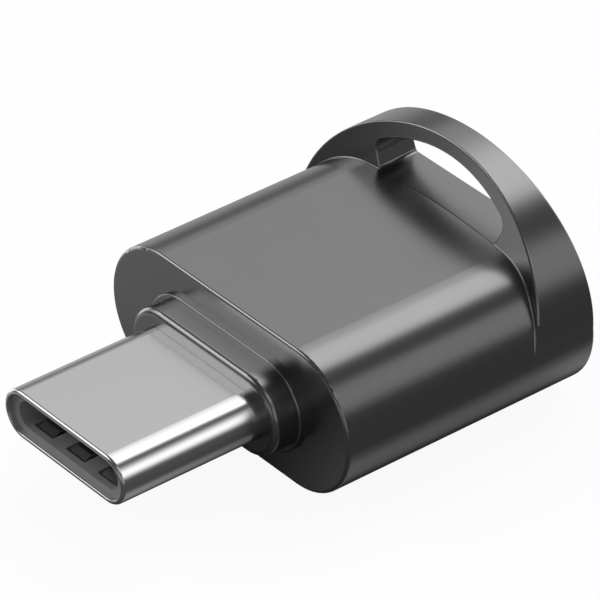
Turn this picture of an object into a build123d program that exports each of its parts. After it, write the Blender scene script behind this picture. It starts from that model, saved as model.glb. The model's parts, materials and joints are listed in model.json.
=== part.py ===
from build123d import *
import os
from math import degrees, hypot, sqrt

# USB-C plug to micro memory card reader, millimetres, +Z up.
# The plug points along -X, the card goes in from the +X end, the keyring
# bail arches over the rear end of the body.  The origin is under the middle
# of the whole reader, on the flat underside.

os.makedirs("parts", exist_ok=True)

# ------------------------------------------------------------ main dimensions
length = 22.66                 # plug tip to rear face
x_tip = -length / 2            # front of the plug
x_rear = length / 2            # rear face
body_hw, body_hh = 8.09, 3.51  # half width and half height of the body section
body_zc = body_hh              # middle height of the body
x_face = -2.46                 # front face of the body
wall = 0.75                    # wall of the metal body
front_wall = 1.10
plug_zc = 3.43                 # height of the plug's axis
edge_front, edge_rear = 0.16, 0.10

# collar round the plug: a long step and a short foot ring
collar_x0, collar_hw, collar_hh, collar_r = -3.88, 4.95, 2.00, 0.28
foot_x0, foot_hw, foot_hh, foot_r = -2.70, 5.18, 2.23, 0.07

# keyring bail
bail_hw, bail_zc, bail_b = 8.06, 4.05, 6.08   # half width, spring height, rise
bail_z_low = 3.49
# front face of the bail: leaning back and slightly hollow from side to side
bail_px, bail_pz, bail_lean, bail_hollow_r = 9.386, 2 * body_hh, 0.167, 35.5
bail_foot_r = 0.06             # fine hollow blend at the foot
rim_z0, rim_r = 5.3, 0.09      # rounding of the front rim, above this height
# the eye's floor: starts here, at this slope, and curves up a little to the rear
eye_x0, eye_slope, eye_floor_r = 8.9, 0.010, 39.0
eye_y_low, eye_y_high = 3.84, 4.38     # half width at the bottom and at the top corners
eye_z_top = 9.38
eye_arc_r = 8.48
eye_corner_r, eye_low_r = 0.60, 0.22
eye_r_front, eye_r_rear = 0.10, 0.05

# plug
shell_hw, shell_hh, shell_t = 8.25 / 2, 2.40 / 2, 0.24
shell_x1 = -0.95
shell_gap = 0.008              # slot in the collar round the shell
flange_x0, flange_hw, flange_hh = -1.32, 4.55, 1.62
ins_x0 = x_tip + 0.28
ins_hw, ins_hh = shell_hw - shell_t, shell_hh - shell_t
mouth_hw, mouth_hh = 3.42, 0.68
pocket_hh = 0.86               # flat pocket for the earthing springs
win_x0, win_x1, win_w, win_pitch = -10.72, -9.26, 1.32, 2.2
pin_w, pin_t, pin_pitch = 0.26, 0.14, 0.5
pin_z = 0.47                   # middle of a contact above the plug's axis
tail_x1 = 0.10
wafer_x0, wafer_x1 = -5.2, -1.0
latch_t = 0.20

# circuit board and card socket
pcb_x0, pcb_x1, pcb_hw = -0.90, 10.10, 6.40
pcb_z0, pcb_z1 = 3.03, 3.83
sock_x0, sock_x1, sock_hw = 0.90, 10.20, 5.70
sock_t = 0.15
card_z0, card_z1 = 1.62, 2.70  # room for the card
sock_pitch, sock_pin_w, sock_pin_t = 1.1, 0.50, 0.12

# carrier that closes the rear end
plate_x0, plate_x1 = 10.30, 11.05
rail_x0, rail_y0, rail_y1 = -0.60, 6.02, 7.00
rail_z0, rail_z1 = 2.53, 4.33
slot_hw, slot_z0, slot_z1 = 5.72, 1.50, 2.82
film_z0, film_t = 4.73, 0.08


def arc_z(y):
    # height of the eye's upper arc at a distance y from the middle
    return eye_z_top - eye_arc_r + sqrt(eye_arc_r**2 - y**2)


# axis of the bail's hollow front face, in front of the reader
tilt = sqrt(1 + bail_lean**2)
hollow_axis = Plane(origin=(bail_px - bail_hollow_r / tilt, 0,
                            bail_pz + bail_hollow_r * bail_lean / tilt),
                    x_dir=(0, 1, 0), z_dir=(bail_lean, 0, 1))


def on_lean(edge):
    # true for an edge that lies on the bail's hollow front face
    for u in (0.1, 0.5, 0.9):
        p = hollow_axis.to_local_coords(edge.position_at(u))
        if abs(hypot(p.X, p.Y) - bail_hollow_r) > 0.01:
            return False
    return True


def on_outline(edge):
    # true for an edge on the bail's outer outline
    p = edge.position_at(0.5)
    return abs((p.Y / bail_hw)**2 + ((p.Z - bail_zc) / bail_b)**2 - 1) < 0.01


def rises(edge):
    # true for an edge that is not level
    return edge.bounding_box().size.Z > 0.2


# ------------------------------------------------------------------ bail form
# block behind the hollow face, larger than the bail all round
with BuildPart() as bail_block:
    with BuildSketch(Plane.YZ.offset(x_rear)):
        with Locations((0, 4.0)):
            Rectangle(24, 16)
    extrude(amount=-8.0)
    with Locations(hollow_axis):
        Cylinder(bail_hollow_r, 120, mode=Mode.SUBTRACT)

# outline of body and bail together, seen along the reader
with BuildPart() as outline_form:
    with BuildSketch(Plane.YZ.offset(x_face)):
        with Locations((0, body_zc)):
            SlotOverall(2 * body_hw, 2 * body_hh)
        with BuildLine():
            Line((-bail_hw, bail_z_low), (bail_hw, bail_z_low))
            Line((bail_hw, bail_z_low), (bail_hw, bail_zc))
            EllipticalCenterArc((0, bail_zc), bail_hw, bail_b, 0, arc_size=180)
            Line((-bail_hw, bail_zc), (-bail_hw, bail_z_low))
        make_face()
    extrude(amount=x_rear - x_face)

# eye of the bail, turned about a far axis above it
with BuildPart() as eye_form:
    with BuildSketch(Plane(origin=(eye_x0, 0, 2 * body_hh), x_dir=(0, 1, 0),
                           z_dir=(1, 0, eye_slope))) as eye_sketch:
        with BuildLine():
            zt = arc_z(eye_y_high) - 2 * body_hh
            zm = eye_z_top - 2 * body_hh
            Line((-eye_y_low, 0), (eye_y_low, 0))
            Line((eye_y_low, 0), (eye_y_high, zt))
            ThreePointArc((eye_y_high, zt), (0, zm), (-eye_y_high, zt))
            Line((-eye_y_high, zt), (-eye_y_low, 0))
        make_face()
        fillet(eye_sketch.vertices().group_by(Axis.Y)[-1], eye_corner_r)
        fillet(eye_sketch.vertices().group_by(Axis.Y)[0], eye_low_r)
    revolve(axis=Axis((eye_x0 - eye_slope * eye_floor_r, 0, 2 * body_hh + eye_floor_r), (0, -1, 0)),
            revolution_arc=degrees((x_rear + 0.5 - eye_x0) / eye_floor_r))

# flat body with full-round sides, and the bail with a hollow blend at its foot
with BuildPart() as outer_form:
    with BuildSketch(Plane.YZ.offset(x_face)):
        with Locations((0, body_zc)):
            SlotOverall(2 * body_hw, 2 * body_hh)
    extrude(amount=x_rear - x_face)
    add(bail_block.part)
    foot_loop = [e for e in outer_form.edges()
                 if on_lean(e) and abs(e.position_at(0.5).Y) < body_hw + 0.1
                 and e.position_at(0.5).Z < 2 * body_hh + 0.2]
    fillet(foot_loop, bail_foot_r)
    add(outline_form.part, mode=Mode.INTERSECT)
    fillet(outer_form.faces().sort_by(Axis.X)[-1].edges(), edge_rear)
    fillet(outer_form.faces().sort_by(Axis.X)[0].edges(), edge_front)
    # eye of the bail, down to the flat top of the body
    add(eye_form.part, mode=Mode.SUBTRACT)
    # softened rear edge of the eye
    rear_loop = [e for e in outer_form.edges()
                 if abs(e.center().X - x_rear) < 1e-3
                 and e.center().Z > 2 * body_hh - 0.01 and abs(e.center().Y) < 4.6
                 and e.center().Z < eye_z_top + 0.15]
    fillet(rear_loop, eye_r_rear)

# upper part of that form, with the bail's front rim and the eye's front edge rounded
with BuildPart() as upper_form:
    add(outer_form.part)
    split(bisect_by=Plane.XY.offset(rim_z0), keep=Keep.TOP)
    fillet([e for e in upper_form.edges() if on_lean(e) and rises(e) and on_outline(e)], rim_r)
    fillet([e for e in upper_form.edges()
            if on_lean(e) and rises(e) and e.position_at(0.5).Z < eye_z_top + 0.05
            and abs(e.position_at(0.5).Y) < 4.6 and not on_outline(e)], eye_r_front)

# ------------------------------------------------------------------- housing
with BuildPart() as housing:
    add(outer_form.part)
    split(bisect_by=Plane.XY.offset(rim_z0), keep=Keep.BOTTOM)
    add(upper_form.part)
    # collar and its foot ring round the plug
    with BuildSketch(Plane.YZ.offset(collar_x0)):
        with Locations((0, plug_zc)):
            SlotOverall(2 * collar_hw, 2 * collar_hh)
    extrude(amount=x_face + 0.4 - collar_x0)
    fillet(housing.faces().sort_by(Axis.X)[0].edges(), collar_r)
    with BuildSketch(Plane.YZ.offset(foot_x0)):
        with Locations((0, plug_zc)):
            SlotOverall(2 * foot_hw, 2 * foot_hh)
    extrude(amount=x_face + 0.4 - foot_x0)
    foot_rim = [f for f in housing.faces()
                if f.geom_type == GeomType.PLANE and f.normal_at().X < -0.99
                and abs(f.center().X - foot_x0) < 1e-3][0]
    fillet(foot_rim.outer_wire().edges(), foot_r)
    # slot for the plug
    with BuildSketch(Plane.YZ.offset(collar_x0 - 1)):
        with Locations((0, plug_zc)):
            SlotOverall(2 * (shell_hw + shell_gap), 2 * (shell_hh + shell_gap))
    extrude(amount=5, mode=Mode.SUBTRACT)
    # room for the board, open at the rear
    with BuildSketch(Plane.YZ.offset(x_face + front_wall)):
        with Locations((0, body_zc)):
            SlotOverall(2 * (body_hw - wall), 2 * (body_hh - wall))
    extrude(amount=x_rear - x_face, mode=Mode.SUBTRACT)
    mouth_rim = [e for e in housing.edges()
                 if abs(e.center().X - x_rear) < 1e-3
                 and abs(e.center().Y) < body_hw - wall + 0.01
                 and body_zc - body_hh + 0.5 < e.center().Z < 2 * body_hh - 0.5]
    chamfer(mouth_rim, 0.12)
housing.part.label = "housing"
export_step(housing.part, "parts/housing.step")

# ----------------------------------------------------------------- plug shell
with BuildPart() as plug_shell:
    with BuildSketch(Plane.YZ.offset(x_tip)):
        with Locations((0, plug_zc)):
            SlotOverall(2 * shell_hw, 2 * shell_hh)
    extrude(amount=shell_x1 - x_tip)
    with BuildSketch(Plane.YZ.offset(flange_x0)):
        with Locations((0, plug_zc)):
            SlotOverall(2 * flange_hw, 2 * flange_hh)
    extrude(amount=shell_x1 - flange_x0)
    with BuildSketch(Plane.YZ.offset(x_tip)):
        with Locations((0, plug_zc)):
            SlotOverall(2 * ins_hw, 2 * ins_hh)
    extrude(amount=length, mode=Mode.SUBTRACT)
    rim = plug_shell.faces().sort_by(Axis.X)[0]
    fillet(rim.outer_wire().edges(), 0.17)
    rim = plug_shell.faces().sort_by(Axis.X)[0]
    fillet(rim.inner_wires()[0].edges(), 0.06)
plug_shell.part.label = "plug_shell"
export_step(plug_shell.part, "parts/plug_shell.step")

# ------------------------------------------------------- contacts of the plug
# one contact: rounded tip, straight beam, solder tail on the board
with BuildPart() as pin_form:
    with BuildSketch(Plane.XZ):
        with BuildLine():
            zc = plug_zc + pin_z
            Polyline((-8.90, zc + 0.10), (-8.54, zc - 0.13), (-8.38, zc - 0.13),
                     (-7.80, zc - pin_t / 2), (tail_x1, zc - pin_t / 2),
                     (tail_x1, zc + pin_t / 2), (-7.84, zc + pin_t / 2),
                     (-8.42, zc + 0.01), (-8.50, zc + 0.01), (-8.82, zc + 0.20),
                     close=True)
        make_face()
    extrude(amount=pin_w / 2, both=True)

with BuildPart() as plug_contacts_upper:
    with Locations(*[(0, (i - 5.5) * pin_pitch, 0) for i in range(12)]):
        add(pin_form.part)
plug_contacts_upper.part.label = "plug_contacts_upper"
export_step(plug_contacts_upper.part, "parts/plug_contacts_upper.step")

# the lower row has ten contacts, five on each side of the middle
with BuildPart() as lower_row:
    with Locations(*[(0, (i - 5.5) * pin_pitch, 0) for i in range(12) if i not in (5, 6)]):
        add(pin_form.part)
with BuildPart() as plug_contacts_lower:
    mirror(lower_row.part, about=Plane.XY.offset(plug_zc))
plug_contacts_lower.part.label = "plug_contacts_lower"
export_step(plug_contacts_lower.part, "parts/plug_contacts_lower.step")

# -------------------------------------------------------- moulded parts inside
with BuildPart() as plug_insulator:
    with BuildSketch(Plane.YZ.offset(ins_x0)):
        with Locations((0, plug_zc)):
            SlotOverall(2 * ins_hw, 2 * ins_hh)
    extrude(amount=-1.0 - ins_x0)
    with BuildSketch(Plane.YZ.offset(ins_x0)):
        with Locations((0, plug_zc)):
            SlotOverall(2 * mouth_hw, 2 * mouth_hh)
    extrude(amount=length, mode=Mode.SUBTRACT)
    # flat pockets and windows for the earthing springs
    for side in (1, -1):
        with Locations((-9.70, 0, plug_zc + side * (pocket_hh + 0.10))):
            Box(2.40, 5.84, 0.20, mode=Mode.SUBTRACT)
        with Locations(*[((win_x0 + win_x1) / 2, k * win_pitch, plug_zc + side * 0.77)
                         for k in (-1, 0, 1)]):
            Box(win_x1 - win_x0, win_w, 0.40, mode=Mode.SUBTRACT)
        # slot for a latch arm
        with Locations((-7.10, side * 3.51, plug_zc)):
            Box(5.60, 0.42, 0.32, mode=Mode.SUBTRACT)
plug_insulator.part.label = "plug_insulator"
export_step(plug_insulator.part, "parts/plug_insulator.step")

with BuildPart() as plug_wafer_upper:
    with BuildSketch(Plane.YZ.offset(wafer_x0)):
        with Locations((0, plug_zc)):
            SlotOverall(2 * (mouth_hw - 0.02), 2 * (mouth_hh - 0.02))
    extrude(amount=wafer_x1 - wafer_x0)
    split(bisect_by=Plane.XY.offset(plug_zc + latch_t / 2), keep=Keep.TOP)
    add(plug_contacts_upper.part, mode=Mode.SUBTRACT)
plug_wafer_upper.part.label = "plug_wafer_upper"
export_step(plug_wafer_upper.part, "parts/plug_wafer_upper.step")

with BuildPart() as plug_wafer_lower:
    with BuildSketch(Plane.YZ.offset(wafer_x0)):
        with Locations((0, plug_zc)):
            SlotOverall(2 * (mouth_hw - 0.02), 2 * (mouth_hh - 0.02))
    extrude(amount=wafer_x1 - wafer_x0)
    split(bisect_by=Plane.XY.offset(plug_zc - latch_t / 2), keep=Keep.BOTTOM)
    add(plug_contacts_lower.part, mode=Mode.SUBTRACT)
plug_wafer_lower.part.label = "plug_wafer_lower"
export_step(plug_wafer_lower.part, "parts/plug_wafer_lower.step")

# -------------------------------------------------- sheet-metal parts of the plug
with BuildPart() as plug_latch:
    with BuildSketch(Plane.XY.offset(plug_zc - latch_t / 2)):
        with Locations((-3.0, 0)):
            Rectangle(4.0, 6.4)
        for side in (1, -1):
            with Locations((-4.70, side * 3.40)):
                Rectangle(0.50, 0.56)
            with BuildLine():
                Polyline((-4.45, side * 3.48), (-8.80, side * 3.48), (-9.15, side * 3.28),
                         (-9.30, side * 3.28), (-9.70, side * 3.50), (-9.70, side * 3.66),
                         (-9.25, side * 3.48), (-9.18, side * 3.48), (-8.82, side * 3.68),
                         (-4.45, side * 3.68), close=True)
            make_face()
    extrude(amount=latch_t)
plug_latch.part.label = "plug_latch"
export_step(plug_latch.part, "parts/plug_latch.step")

with BuildPart() as spring_form:
    with BuildSketch(Plane.XY.offset(plug_zc + pocket_hh)):
        with Locations((-8.93, 0)):
            Rectangle(0.74, 5.80)
    extrude(amount=0.10)
    with BuildSketch(Plane.XZ):
        with BuildLine():
            z0 = plug_zc + pocket_hh
            Polyline((-9.25, z0), (-9.32, z0), (-10.20, z0 - 0.24), (-10.60, z0 - 0.12),
                     (-10.60, z0 - 0.02), (-10.20, z0 - 0.14), (-9.32, z0 + 0.10),
                     (-9.25, z0 + 0.10), close=True)
        make_face()
    finger = extrude(amount=0.52, both=True)
    with Locations((0, -win_pitch, 0), (0, win_pitch, 0)):
        add(finger)
with BuildPart() as earthing_spring_upper:
    add(spring_form.part)
earthing_spring_upper.part.label = "earthing_spring_upper"
export_step(earthing_spring_upper.part, "parts/earthing_spring_upper.step")
with BuildPart() as earthing_spring_lower:
    mirror(spring_form.part, about=Plane.XY.offset(plug_zc))
earthing_spring_lower.part.label = "earthing_spring_lower"
export_step(earthing_spring_lower.part, "parts/earthing_spring_lower.step")

# -------------------------------------------------------------- circuit board
with BuildPart() as circuit_board:
    with BuildSketch(Plane.XY.offset(pcb_z0)):
        with Locations(((pcb_x0 + pcb_x1) / 2, 0)):
            RectangleRounded(pcb_x1 - pcb_x0, 2 * pcb_hw, 0.4)
    extrude(amount=pcb_z1 - pcb_z0)
circuit_board.part.label = "circuit_board"
export_step(circuit_board.part, "parts/circuit_board.step")

with BuildPart() as controller_chip:
    with BuildSketch(Plane.XY.offset(pcb_z1)):
        with Locations((5.6, 0)):
            Rectangle(4.0, 4.0)
    extrude(amount=film_z0 - pcb_z1)
    chamfer(controller_chip.edges().filter_by(Axis.Z), 0.12)
    chamfer(controller_chip.faces().sort_by(Axis.Z)[-1].edges(), 0.06)
    with Locations((4.2, 1.4, film_z0)):
        Cylinder(0.22, 0.12, mode=Mode.SUBTRACT)
controller_chip.part.label = "controller_chip"
export_step(controller_chip.part, "parts/controller_chip.step")

with BuildPart() as crystal:
    with BuildSketch(Plane.XY.offset(pcb_z1)):
        with Locations((2.0, 3.4)):
            Rectangle(3.2, 2.5)
    extrude(amount=0.30)
    with BuildSketch(Plane.XY.offset(pcb_z1 + 0.30)):
        with Locations((2.0, 3.4)):
            RectangleRounded(2.9, 2.2, 0.3)
    extrude(amount=0.40)
    fillet(crystal.faces().sort_by(Axis.Z)[-1].edges(), 0.10)
crystal.part.label = "crystal"
export_step(crystal.part, "parts/crystal.step")

with BuildPart() as voltage_regulator:
    with Locations((1.9, -3.6, pcb_z1 + 0.475)):
        Box(2.9, 1.5, 0.75)
    chamfer(voltage_regulator.faces().sort_by(Axis.Z)[-1].edges(), 0.10)
    with Locations((0.95, -2.63, pcb_z1 + 0.075), (2.85, -2.63, pcb_z1 + 0.075),
                   (0.95, -4.57, pcb_z1 + 0.075), (1.90, -4.57, pcb_z1 + 0.075),
                   (2.85, -4.57, pcb_z1 + 0.075)):
        Box(0.40, 0.50, 0.15)
    with Locations((0.95, -2.80, pcb_z1 + 0.25), (2.85, -2.80, pcb_z1 + 0.25),
                   (0.95, -4.40, pcb_z1 + 0.25), (1.90, -4.40, pcb_z1 + 0.25),
                   (2.85, -4.40, pcb_z1 + 0.25)):
        Box(0.40, 0.15, 0.50)
voltage_regulator.part.label = "voltage_regulator"
export_step(voltage_regulator.part, "parts/voltage_regulator.step")

with BuildPart() as chip_capacitors:
    with Locations(*[(8.7, y, pcb_z1 + 0.25) for y in (-3.0, -1.8, -0.6, 0.6, 1.8, 3.0)],
                   (5.0, 3.0, pcb_z1 + 0.25), (6.4, 3.0, pcb_z1 + 0.25)):
        Box(1.0, 0.5, 0.5)
chip_capacitors.part.label = "chip_capacitors"
export_step(chip_capacitors.part, "parts/chip_capacitors.step")

with BuildPart() as chip_resistors:
    with Locations((5.0, -3.0, pcb_z1 + 0.175), (6.4, -3.0, pcb_z1 + 0.175),
                   (4.6, 4.4, pcb_z1 + 0.175), (6.2, 4.4, pcb_z1 + 0.175),
                   (4.6, -4.4, pcb_z1 + 0.175), (6.2, -4.4, pcb_z1 + 0.175)):
        Box(1.0, 0.5, 0.35)
chip_resistors.part.label = "chip_resistors"
export_step(chip_resistors.part, "parts/chip_resistors.step")

with BuildPart() as insulating_film:
    with BuildSketch(Plane.XY.offset(film_z0)):
        with Locations((4.8, 0)):
            RectangleRounded(10.4, 11.8, 0.5)
    extrude(amount=film_t)
insulating_film.part.label = "insulating_film"
export_step(insulating_film.part, "parts/insulating_film.step")

# ---------------------------------------------------------------- card socket
with BuildPart() as card_socket_contacts:
    with BuildSketch(Plane.XZ):
        with BuildLine():
            Polyline((0.45, pcb_z0), (2.40, pcb_z0), (4.60, pcb_z0 - 0.50),
                     (5.10, pcb_z0 - 0.38), (5.10, pcb_z0 - 0.50), (4.60, pcb_z0 - 0.62),
                     (2.40, pcb_z0 - sock_pin_t), (0.45, pcb_z0 - sock_pin_t), close=True)
        make_face()
    leaf = extrude(amount=sock_pin_w / 2, both=True, mode=Mode.PRIVATE)
    with Locations(*[(0, (i - 3.5) * sock_pitch, 0) for i in range(8)]):
        add(leaf)
card_socket_contacts.part.label = "card_socket_contacts"
export_step(card_socket_contacts.part, "parts/card_socket_contacts.step")

with BuildPart() as card_detect_contact:
    with Locations((1.56, 4.85, (2.0 + pcb_z0) / 2)):
        Box(0.12, 0.5, pcb_z0 - 2.0)
    with Locations((1.66, 4.85, 2.06)):
        Box(0.32, 0.5, 0.12)
card_detect_contact.part.label = "card_detect_contact"
export_step(card_detect_contact.part, "parts/card_detect_contact.step")

with BuildPart() as card_socket_base:
    with Locations(((sock_x0 + sock_x1) / 2, 0, (card_z1 + pcb_z0) / 2)):
        Box(sock_x1 - sock_x0, 2 * sock_hw, pcb_z0 - card_z1)
    with Locations((sock_x0 + 0.275, 0, (card_z0 + card_z1) / 2)):
        Box(0.55, 2 * sock_hw - 0.1, card_z1 - card_z0)
    with Locations(*[(3.80, (i - 3.5) * sock_pitch, card_z1 + 0.1) for i in range(8)]):
        Box(3.20, 0.70, 1.0, mode=Mode.SUBTRACT)
    with Locations(*[(1.55, (i - 3.5) * sock_pitch, pcb_z0 - sock_pin_t / 2) for i in range(8)]):
        Box(1.40, sock_pin_w, sock_pin_t, mode=Mode.SUBTRACT)
    with Locations((1.56, 4.85, (card_z1 + pcb_z0) / 2)):
        Box(0.12, 0.5, 1.0, mode=Mode.SUBTRACT)
card_socket_base.part.label = "card_socket_base"
export_step(card_socket_base.part, "parts/card_socket_base.step")

with BuildPart() as card_socket_cover:
    with Locations(((sock_x0 + 0.1 + sock_x1) / 2, 0, card_z0 - sock_t / 2)):
        Box(sock_x1 - sock_x0 - 0.1, 2 * (sock_hw + sock_t), sock_t)
    for side in (1, -1):
        with Locations(((sock_x0 + 0.1 + sock_x1) / 2, side * (sock_hw + sock_t / 2),
                        (card_z0 - sock_t + pcb_z0) / 2)):
            Box(sock_x1 - sock_x0 - 0.1, sock_t, pcb_z0 - card_z0 + sock_t)
        # pressed-in spring tongue, cut free on three sides
        with Locations((6.4, side * 3.1 - 0.5, card_z0), (6.4, side * 3.1 + 0.5, card_z0)):
            Box(2.6, 0.16, 1.0, mode=Mode.SUBTRACT)
        with Locations((7.62, side * 3.1, card_z0)):
            Box(0.16, 1.16, 1.0, mode=Mode.SUBTRACT)
card_socket_cover.part.label = "card_socket_cover"
export_step(card_socket_cover.part, "parts/card_socket_cover.step")

# --------------------------------------- carrier: rear plate and board rails
with BuildPart() as rear_carrier:
    with BuildSketch(Plane.YZ.offset(plate_x0)):
        with Locations((0, body_zc)):
            SlotOverall(2 * (body_hw - wall - 0.02), 2 * (body_hh - wall - 0.02))
    extrude(amount=plate_x1 - plate_x0)
    fillet(rear_carrier.faces().sort_by(Axis.X)[-1].edges(), 0.10)
    with BuildSketch(Plane.YZ.offset(plate_x0 - 0.5)):
        with Locations((0, (slot_z0 + slot_z1) / 2)):
            RectangleRounded(2 * slot_hw, slot_z1 - slot_z0, 0.2)
    extrude(amount=2.0, mode=Mode.SUBTRACT)
    lead_in = rear_carrier.faces().sort_by(Axis.X)[-1].inner_wires()[0].edges()
    chamfer(lead_in, 0.22)
    for side in (1, -1):
        with Locations(((rail_x0 + plate_x0) / 2, side * (rail_y0 + rail_y1) / 2,
                        (rail_z0 + rail_z1) / 2)):
            Box(plate_x0 - rail_x0, rail_y1 - rail_y0, rail_z1 - rail_z0)
        with Locations(((rail_x0 + plate_x0) / 2 - 0.1, side * (rail_y0 + pcb_hw) / 2,
                        (pcb_z0 + pcb_z1) / 2)):
            Box(plate_x0 - rail_x0 + 0.2, pcb_hw - rail_y0, pcb_z1 - pcb_z0,
                mode=Mode.SUBTRACT)
rear_carrier.part.label = "rear_carrier"
export_step(rear_carrier.part, "parts/rear_carrier.step")
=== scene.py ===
import bpy
import json
import math
from mathutils import Matrix, Vector

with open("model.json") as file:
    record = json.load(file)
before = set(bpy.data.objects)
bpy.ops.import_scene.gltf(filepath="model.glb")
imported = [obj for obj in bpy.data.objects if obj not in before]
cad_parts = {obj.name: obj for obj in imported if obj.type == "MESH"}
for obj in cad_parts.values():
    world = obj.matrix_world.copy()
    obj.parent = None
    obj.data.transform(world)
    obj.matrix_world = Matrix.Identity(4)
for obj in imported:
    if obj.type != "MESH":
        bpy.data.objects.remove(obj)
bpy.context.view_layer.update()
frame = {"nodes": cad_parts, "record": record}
N = frame["nodes"]
scene = bpy.context.scene
MM = 0.001


# ------------------------------------------------------------------ node helpers
class Tree:
    """Small helper round a node tree: makes nodes and links them by name."""

    def __init__(self, tree):
        self.t = tree
        self.t.nodes.clear()

    def new(self, kind, **props):
        n = self.t.nodes.new(kind)
        for k, v in props.items():
            setattr(n, k, v)
        return n

    def link(self, a, b):
        self.t.links.new(a, b)

    def math(self, op, a, b=None, c=None, clamp=False):
        n = self.new("ShaderNodeMath", operation=op, use_clamp=clamp)
        for i, v in enumerate((a, b, c)):
            if v is None:
                continue
            if isinstance(v, (int, float)):
                n.inputs[i].default_value = v
            else:
                self.link(v, n.inputs[i])
        return n.outputs[0]

    def smooth(self, v, a, b, lo=0.0, hi=1.0):
        n = self.new("ShaderNodeMapRange", interpolation_type="SMOOTHSTEP", clamp=True)
        self.link(v, n.inputs["Value"])
        n.inputs["From Min"].default_value = a
        n.inputs["From Max"].default_value = b
        n.inputs["To Min"].default_value = lo
        n.inputs["To Max"].default_value = hi
        return n.outputs["Result"]

    def linear(self, v, a, b, lo=0.0, hi=1.0):
        n = self.new("ShaderNodeMapRange", interpolation_type="LINEAR", clamp=True)
        self.link(v, n.inputs["Value"])
        n.inputs["From Min"].default_value = a
        n.inputs["From Max"].default_value = b
        n.inputs["To Min"].default_value = lo
        n.inputs["To Max"].default_value = hi
        return n.outputs["Result"]


def material(name):
    m = bpy.data.materials.new(name)
    m.use_nodes = True
    t = Tree(m.node_tree)
    out = t.new("ShaderNodeOutputMaterial")
    bsdf = t.new("ShaderNodeBsdfPrincipled")
    t.link(bsdf.outputs["BSDF"], out.inputs["Surface"])
    return m, t, bsdf


def coords(t, scale=(1, 1, 1)):
    """Object coordinates in millimetres, stretched by scale."""
    c = t.new("ShaderNodeTexCoord")
    m = t.new("ShaderNodeMapping")
    m.inputs["Scale"].default_value = [1000 * s for s in scale]
    t.link(c.outputs["Object"], m.inputs["Vector"])
    return m.outputs["Vector"]


def noise(t, vec, scale, detail=2.0, rough=0.5):
    n = t.new("ShaderNodeTexNoise")
    t.link(vec, n.inputs["Vector"])
    n.inputs["Scale"].default_value = scale
    n.inputs["Detail"].default_value = detail
    n.inputs["Roughness"].default_value = rough
    return n.outputs["Fac"]


def ramp(t, fac, stops):
    r = t.new("ShaderNodeValToRGB")
    e = r.color_ramp.elements
    e[0].position, e[0].color = stops[0][0], (*stops[0][1], 1)
    e[1].position, e[1].color = stops[-1][0], (*stops[-1][1], 1)
    for p, c in stops[1:-1]:
        x = e.new(p)
        x.color = (*c, 1)
    t.link(fac, r.inputs["Fac"])
    return r.outputs["Color"]


def bump(t, bsdf, height, strength, distance):
    b = t.new("ShaderNodeBump")
    b.inputs["Strength"].default_value = strength
    b.inputs["Distance"].default_value = distance
    t.link(height, b.inputs["Height"])
    t.link(b.outputs["Normal"], bsdf.inputs["Normal"])


def grey(v, warm=0.0):
    return (v * (1 + warm), v, v * (1 - warm))


def metal(name, base, spread, rough, rough_spread, grain, grain_depth, stretch=(1, 1, 1), warm=0.006):
    """Plated metal: a little colour and gloss variation and a fine grain."""
    m, t, b = material(name)
    v = coords(t, stretch)
    cloud = noise(t, v, 0.35, 3.0)
    fine = noise(t, v, grain, 2.0, 0.6)
    col = ramp(t, cloud, [(0.3, grey(base - spread, warm)), (0.7, grey(base + spread, warm))])
    t.link(col, b.inputs["Base Color"])
    b.inputs["Metallic"].default_value = 1.0
    r = t.linear(fine, 0.25, 0.75, rough - rough_spread, rough + rough_spread)
    t.link(r, b.inputs["Roughness"])
    bump(t, b, fine, 0.5, grain_depth)
    return m


def plastic(name, dark, light, rough, grain=9.0, depth=0.004 * MM):
    m, t, b = material(name)
    v = coords(t)
    fine = noise(t, v, grain, 3.0, 0.6)
    col = ramp(t, noise(t, v, 0.8, 3.0), [(0.3, dark), (0.7, light)])
    t.link(col, b.inputs["Base Color"])
    r = t.linear(fine, 0.25, 0.75, rough - 0.05, rough + 0.05)
    t.link(r, b.inputs["Roughness"])
    bump(t, b, fine, 0.4, depth)
    return m


# --------------------------------------------------------------------- materials
mat = {}
mat["gunmetal"] = metal("gunmetal", 0.285, 0.004, 0.24, 0.012, 16.0, 0.0001 * MM)
mat["nickel_plate"] = metal("nickel_plate", 0.64, 0.004, 0.20, 0.012, 10.0, 0.0001 * MM, (0.15, 1, 1), 0.002)
mat["spring_steel"] = metal("spring_steel", 0.58, 0.02, 0.34, 0.04, 12.0, 0.0008 * MM, (0.2, 1, 1))
mat["socket_steel"] = metal("socket_steel", 0.58, 0.015, 0.24, 0.04, 10.0, 0.0008 * MM, (0.15, 1, 1))
mat["can_metal"] = metal("can_metal", 0.62, 0.01, 0.30, 0.04, 12.0, 0.0008 * MM)

m, t, b = material("gold_contact")
v = coords(t, (0.3, 1, 1))
t.link(ramp(t, noise(t, v, 2.0, 3.0), [(0.3, (0.80, 0.58, 0.22)), (0.7, (0.88, 0.68, 0.30))]), b.inputs["Base Color"])
b.inputs["Metallic"].default_value = 1.0
t.link(t.linear(noise(t, v, 9.0), 0.25, 0.75, 0.20, 0.32), b.inputs["Roughness"])
mat["gold_contact"] = m

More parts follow.
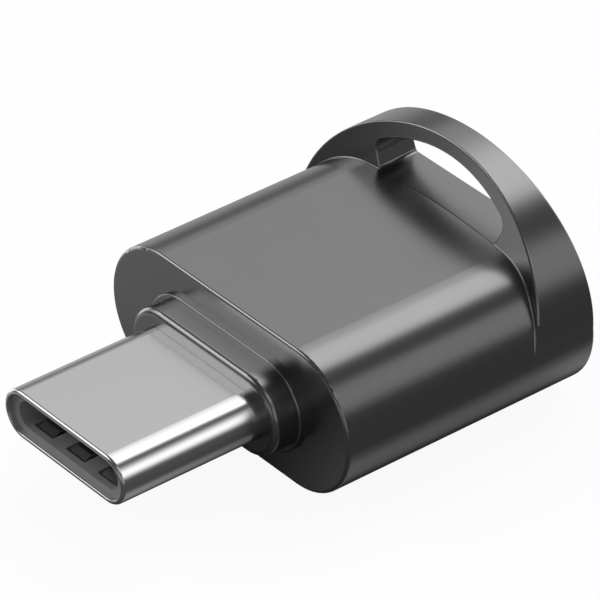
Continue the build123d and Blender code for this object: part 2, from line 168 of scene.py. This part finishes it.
mat["black_plastic"] = plastic("black_plastic", (0.016, 0.016, 0.017), (0.024, 0.024, 0.025), 0.42)
mat["connector_plastic"] = plastic("connector_plastic", (0.44, 0.44, 0.445), (0.50, 0.50, 0.505), 0.42)
mat["chip_black"] = plastic("chip_black", (0.014, 0.014, 0.015), (0.022, 0.022, 0.023), 0.55)
mat["capacitor_tan"] = plastic("capacitor_tan", (0.38, 0.26, 0.14), (0.48, 0.34, 0.20), 0.45)
mat["resistor_black"] = plastic("resistor_black", (0.018, 0.018, 0.020), (0.030, 0.030, 0.034), 0.35)
mat["board_green"] = plastic("board_green", (0.012, 0.095, 0.038), (0.018, 0.125, 0.050), 0.32)

m, t, b = material("film_amber")
v = coords(t)
t.link(ramp(t, noise(t, v, 0.6, 3.0), [(0.3, (0.50, 0.24, 0.035)), (0.7, (0.60, 0.31, 0.06))]), b.inputs["Base Color"])
t.link(t.linear(noise(t, v, 4.0), 0.25, 0.75, 0.12, 0.22), b.inputs["Roughness"])
b.inputs["Transmission Weight"].default_value = 0.35
mat["film_amber"] = m

slot_of = {s["node"]: s["material_slot"] for s in frame["record"]["subparts"]}
for name, obj in N.items():
    obj.data.materials.clear()
    obj.data.materials.append(mat[slot_of[name]])

# ------------------------------------------------------------------ floor, lights
bpy.ops.mesh.primitive_plane_add(size=6.0, location=(0, 0, -0.00002))
floor = bpy.context.object
floor.name = "floor"
m, t, b = material("floor_white")
b.inputs["Roughness"].default_value = 0.9
b.inputs["Specular IOR Level"].default_value = 0.0
b.inputs["Base Color"].default_value = (0.12, 0.12, 0.12, 1)
b.inputs["Emission Color"].default_value = (1, 1, 1, 1)
b.inputs["Emission Strength"].default_value = 0.93
# mirrored in the metal, the floor shows only as painted shade close to the reader: ambient occlusion darkens the
# see-through floor where the reader is near
painted_floor_shade = t.new("ShaderNodeAmbientOcclusion", samples=6)
painted_floor_shade.inputs["Distance"].default_value = 6 * MM
# painted shade: the see-through floor takes the occlusion factor as its colour
clear = t.new("ShaderNodeBsdfTransparent")
t.link(painted_floor_shade.outputs["Color"], clear.inputs["Color"])
choose = t.new("ShaderNodeMixShader")
paths = t.new("ShaderNodeLightPath")
t.link(paths.outputs["Is Camera Ray"], choose.inputs["Fac"])
t.link(clear.outputs[0], choose.inputs[1])
t.link(b.outputs[0], choose.inputs[2])
t.link(choose.outputs[0], [n for n in m.node_tree.nodes if n.type == "OUTPUT_MATERIAL"][0].inputs["Surface"])
floor.data.materials.append(m)

world = bpy.data.worlds.new("studio")
scene.world = world
world.use_nodes = True
t = Tree(world.node_tree)
out = t.new("ShaderNodeOutputWorld")
bg = t.new("ShaderNodeBackground")
tc = t.new("ShaderNodeTexCoord")
ray = tc.outputs["Generated"]
sep = t.new("ShaderNodeSeparateXYZ")
t.link(ray, sep.inputs[0])
X, Y, Z = sep.outputs


def dot(v):
    n = t.new("ShaderNodeVectorMath", operation="DOT_PRODUCT")
    t.link(ray, n.inputs[0])
    n.inputs[1].default_value = v
    return n.outputs["Value"]


def panel(centre, half_w, half_h, soft_w, soft_h, level):
    """Soft rectangular light in the direction of centre; sizes are angles in degrees."""
    c = Vector(centre).normalized()
    e1 = Vector((0, 0, 1)).cross(c).normalized()
    e2 = c.cross(e1)
    u = t.math("MULTIPLY", t.math("ARCTAN2", dot(e1), dot(c)), 57.29578)
    v = t.math("MULTIPLY", t.math("ARCSINE", dot(e2)), 57.29578)
    mu = t.smooth(t.math("ABSOLUTE", u), half_w - soft_w, half_w + soft_w, 1.0, 0.0)
    mv = t.smooth(t.math("ABSOLUTE", v), half_h - soft_h, half_h + soft_h, 1.0, 0.0)
    return t.math("MULTIPLY", t.math("MULTIPLY", mu, mv), level)


def product(*values):
    r = values[0]
    for v in values[1:]:
        r = t.math("MULTIPLY", r, v)
    return r


def total(*values):
    r = values[0]
    for v in values[1:]:
        r = t.math("ADD", r, v)
    return r


# angle round the length of the reader, 0 overhead, positive towards the right (-Y) side
phi = t.math("MULTIPLY", t.math("ARCTAN2", t.math("MULTIPLY", Y, -1.0), Z), 57.29578)
reach = product(t.smooth(X, 0.10, 0.30), t.smooth(X, 0.80, 0.95, 1.0, 0.0))
# overhead strip, with a dimmer leaf on its left
strip = product(t.smooth(phi, -50.0, -24.0), t.smooth(phi, -1.0, 9.0, 1.0, 0.0), reach)
leaf = product(t.smooth(phi, -65.0, -60.0), t.smooth(phi, -50.0, -24.0, 1.0, 0.0), reach)
rim = product(t.smooth(phi, -136.0, -112.0), t.smooth(phi, -90.0, -74.0, 1.0, 0.0), reach)
gap = product(t.smooth(phi, -90.0, -74.0), t.smooth(phi, -65.0, -60.0, 1.0, 0.0), reach)
# dimmer light on the right, and a weak one below it
side = product(t.smooth(phi, 26.0, 40.0), t.smooth(phi, 62.0, 80.0, 1.0, 0.0), reach)
below = t.math("MULTIPLY", t.math("ARCTAN2", Y, t.math("MULTIPLY", Z, -1.0)), 57.29578)
low = product(t.smooth(below, -46.0, -16.0), t.smooth(below, 0.0, 22.0, 1.0, 0.0), reach)
light = total(
    t.math("MULTIPLY", strip, 1.52),
    t.math("MULTIPLY", leaf, 0.59),
    t.math("MULTIPLY", rim, 0.42),
    t.math("MULTIPLY", gap, 0.13),
    t.math("MULTIPLY", side, 0.42),
    t.math("MULTIPLY", low, 0.36),
    # softbox at the front left, dimmer in its lower half, and the pale ground in front of it
    panel((-0.474, 0.629, 0.616), 20.0, 7.5, 4.0, 3.5, 2.30),
    panel((-0.495, 0.792, 0.358), 18.0, 9.0, 12.0, 5.0, 1.40),
    panel((-0.43, 0.81, -0.41), 22.0, 11.0, 12.0, 7.0, 0.38),
    # fill from the sides that the first three leave dark
    panel((-0.05, -0.60, 0.80), 18.0, 14.0, 6.0, 6.0, 0.60),
    panel((-0.15, -0.95, 0.20), 18.0, 16.0, 6.0, 6.0, 0.45),
    panel((0.97, 0.10, 0.25), 24.0, 14.0, 6.0, 6.0, 0.80),
    panel((0.02, 0.98, -0.08), 14.0, 15.0, 6.0, 6.0, 1.60),
    panel((-0.92, -0.35, 0.15), 18.0, 14.0, 6.0, 6.0, 0.40))
light = t.math("ADD", light, 0.09)
lp = t.new("ShaderNodeLightPath")
seen = t.math("ADD", t.math("MULTIPLY", light, t.math("SUBTRACT", 1.0, lp.outputs["Is Camera Ray"])),
              lp.outputs["Is Camera Ray"])
t.link(seen, bg.inputs["Strength"])
bg.inputs["Color"].default_value = (1, 1, 1, 1)
t.link(bg.outputs[0], out.inputs["Surface"])

# two soft strips for the bright plug alone
receivers = bpy.data.collections.new("plug_strip_receivers")
receivers.objects.link(N["plug_shell"])


def plug_strip(name, angle, half, half_x, level, edge):
    """Strip along X seen at this angle round the plug; half sizes are angles in degrees."""
    x = 0.495
    r = math.sqrt(1 - x * x)
    towards = Vector((x, -r * math.sin(math.radians(angle)), r * math.cos(math.radians(angle))))
    lamp = bpy.data.lights.new(name, "AREA")
    lamp.shape = "RECTANGLE"
    far = 0.4
    lamp.size = 2 * far * math.tan(math.radians(half_x))
    lamp.size_y = 2 * far * math.tan(math.radians(half * r))
    lamp.energy = level * math.pi * lamp.size * lamp.size_y
    lamp.use_nodes = True
    w = Tree(lamp.node_tree)
    end = w.new("ShaderNodeOutputLight")
    glow = w.new("ShaderNodeEmission")
    g = w.new("ShaderNodeNewGeometry")
    cut = w.new("ShaderNodeSeparateXYZ")
    w.link(g.outputs["Parametric"], cut.inputs[0])
    fade = w.math("MULTIPLY", w.smooth(cut.outputs[1], 0.0, edge), w.smooth(cut.outputs[1], 1.0 - edge, 1.0, 1.0, 0.0))
    w.link(fade, glow.inputs["Strength"])
    w.link(glow.outputs[0], end.inputs["Surface"])
    o = bpy.data.objects.new(name, lamp)
    scene.collection.objects.link(o)
    along = (Vector((1, 0, 0)) - towards * towards.x).normalized()
    across = towards.cross(along)
    place = Vector((-7.6, 0.0, 3.4)) * MM + towards * far
    o.matrix_world = Matrix((
        (along.x, across.x, towards.x, place.x),
        (along.y, across.y, towards.y, place.y),
        (along.z, across.z, towards.z, place.z),
        (0, 0, 0, 1)))
    o.visible_camera = False
    o.light_linking.receiver_collection = receivers


plug_strip("plug_strip_top", 6.0, 11.0, 16.0, 1.50, 0.40)
plug_strip("plug_strip_right", 62.0, 27.0, 16.0, 1.15, 0.42)

# ------------------------------------------------------------------------ camera
cam_data = bpy.data.cameras.new("camera")
cam = bpy.data.objects.new("camera", cam_data)
scene.collection.objects.link(cam)
cam_data.sensor_fit = "HORIZONTAL"
cam_data.sensor_width = 36.0
cam_data.lens = 347.28
cam_data.clip_start = 0.01
cam_data.clip_end = 20.0
eye = Vector((-128.41, -159.22, 145.565)) * MM
aim = Vector((1.530, 0.0, 5.3835)) * MM
back = (eye - aim).normalized()
right = Vector((0, 0, 1)).cross(back).normalized()
upv = back.cross(right)
cam.matrix_world = Matrix((
    (right.x, upv.x, back.x, eye.x),
    (right.y, upv.y, back.y, eye.y),
    (right.z, upv.z, back.z, eye.z),
    (0, 0, 0, 1)))
scene.camera = cam

scene.view_settings.view_transform = "Standard"
scene.view_settings.look = "None"
